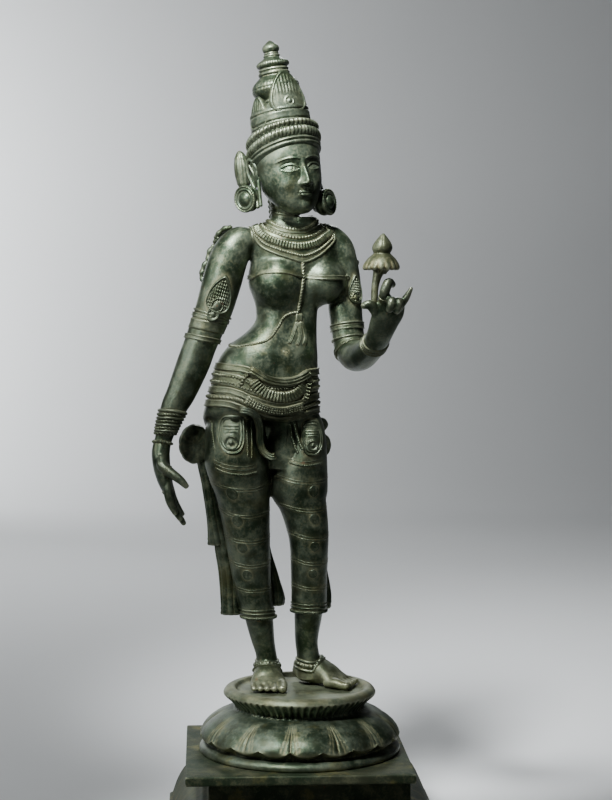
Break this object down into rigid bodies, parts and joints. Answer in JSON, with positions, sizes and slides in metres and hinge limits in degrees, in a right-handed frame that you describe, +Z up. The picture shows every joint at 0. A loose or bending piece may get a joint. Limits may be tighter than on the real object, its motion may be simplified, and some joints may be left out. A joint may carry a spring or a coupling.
{
  "type": "goddess statue",
  "caption": "Cast bronze goddess standing with one arm hanging and a lotus bud in the other hand, on a double lotus over a square stepped plinth.",
  "frame": {"origin": "centre of the plinth's underside", "axes": "+Z up along the height, -Y the front that the plinth faces, +X to the statue's left hand with the lotus bud"},
  "size_m": [0.2896, 0.276, 0.795],
  "materials": {
    "bronze_figure": "dark green-brown patina, worn to a satin sheen on the skin, pale dust in the carving",
    "bronze_lotus": "dull green-brown patina with pale dust in the petals",
    "bronze_plinth": "dull dark patina with olive patches"
  },
  "bodies": {
    "root": {"figure": "bronze_figure", "lotus_pedestal": "bronze_lotus", "square_plinth": "bronze_plinth"}
  },
  "joints": []
}
